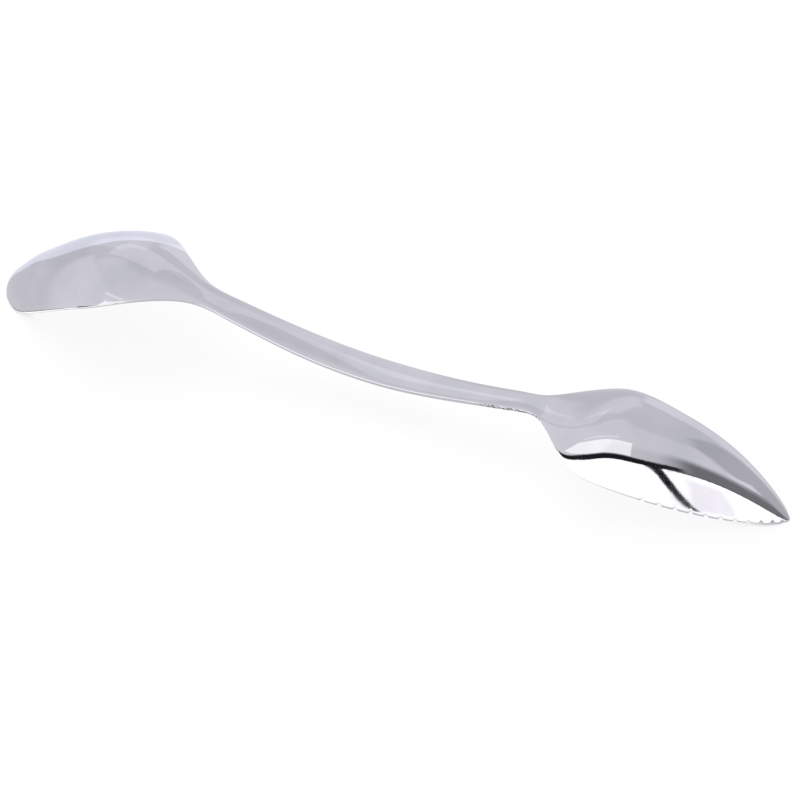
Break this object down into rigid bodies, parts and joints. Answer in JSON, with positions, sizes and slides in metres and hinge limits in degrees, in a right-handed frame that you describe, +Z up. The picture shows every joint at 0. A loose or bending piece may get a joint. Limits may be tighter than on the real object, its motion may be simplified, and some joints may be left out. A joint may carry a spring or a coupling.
{
  "type": "double-ended fruit scoop",
  "caption": "Slim pressed steel fruit scoop with a plain oval bowl at one end and a deep pointed bowl with toothed edges at the other, lying hollow side down.",
  "frame": {"origin": "middle of the tool's length and width, on the table that the round lip and the pointed tip rest on", "axes": "+X along the tool toward the pointed toothed bowl, +Z up away from the table, the tool being symmetric about the XZ plane"},
  "size_m": [0.17, 0.023, 0.021],
  "materials": {
    "steel": "polished"
  },
  "bodies": {
    "root": {"round_scoop": "steel", "handle": "steel", "serrated_scoop": "steel"}
  },
  "joints": []
}
